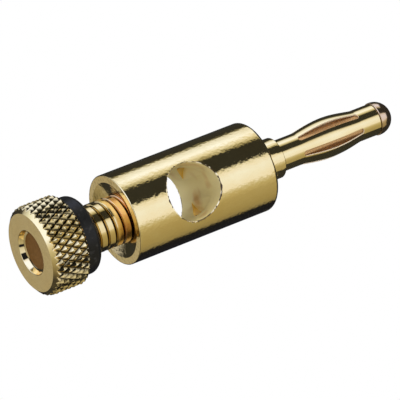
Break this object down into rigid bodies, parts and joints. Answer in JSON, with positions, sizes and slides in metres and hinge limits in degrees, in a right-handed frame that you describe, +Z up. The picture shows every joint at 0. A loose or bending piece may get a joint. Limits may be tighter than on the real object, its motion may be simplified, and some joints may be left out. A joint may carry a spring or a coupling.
{
  "type": "banana plug",
  "caption": "Round barrel plug with a wire hole across it, a knurled clamping screw at the rear and a sprung contact pin at the front.",
  "frame": {"origin": "centre of the knob's face, on which the plug stands", "axes": "+Z up the plug's axis to the contact's tip, +Y along the wire hole"},
  "size_m": [0.01, 0.01, 0.046],
  "materials": {
    "gold_barrel": "polished gold plate",
    "copper_core": "polished, copper brown",
    "gold_spring": "polished gold plate",
    "black_ring": "satin",
    "gold_knob": "polished gold plate",
    "gold_stud": "polished gold plate"
  },
  "bodies": {
    "plug_body": {"barrel": "gold_barrel", "core_pin": "copper_core"},
    "ring": {"marker_ring": "black_ring"},
    "clamp_screw": {"screw_knob": "gold_knob", "screw_stud": "gold_stud"},
    "cage": {"spring_cage": "gold_spring"}
  },
  "joints": [
    {"name": "ring_slide", "type": "slide", "parent": "plug_body", "child": "ring", "axis": [0, 0, 1], "range_m": [-0.002, 0.0039]},
    {"name": "screw_turn", "type": "hinge", "parent": "ring", "child": "clamp_screw", "pos_m": [0, 0, 0.0075], "axis": [0, 0, 1], "range_deg": [-720, 1404]},
    {"name": "cage_spin", "type": "hinge", "parent": "plug_body", "child": "cage", "pos_m": [0, 0, 0.03745], "axis": [0, 0, 1], "continuous": true}
  ],
  "couplings": [
    {"joint": "screw_turn", "follows": "ring_slide", "rad_per_m": 6283.2}
  ]
}
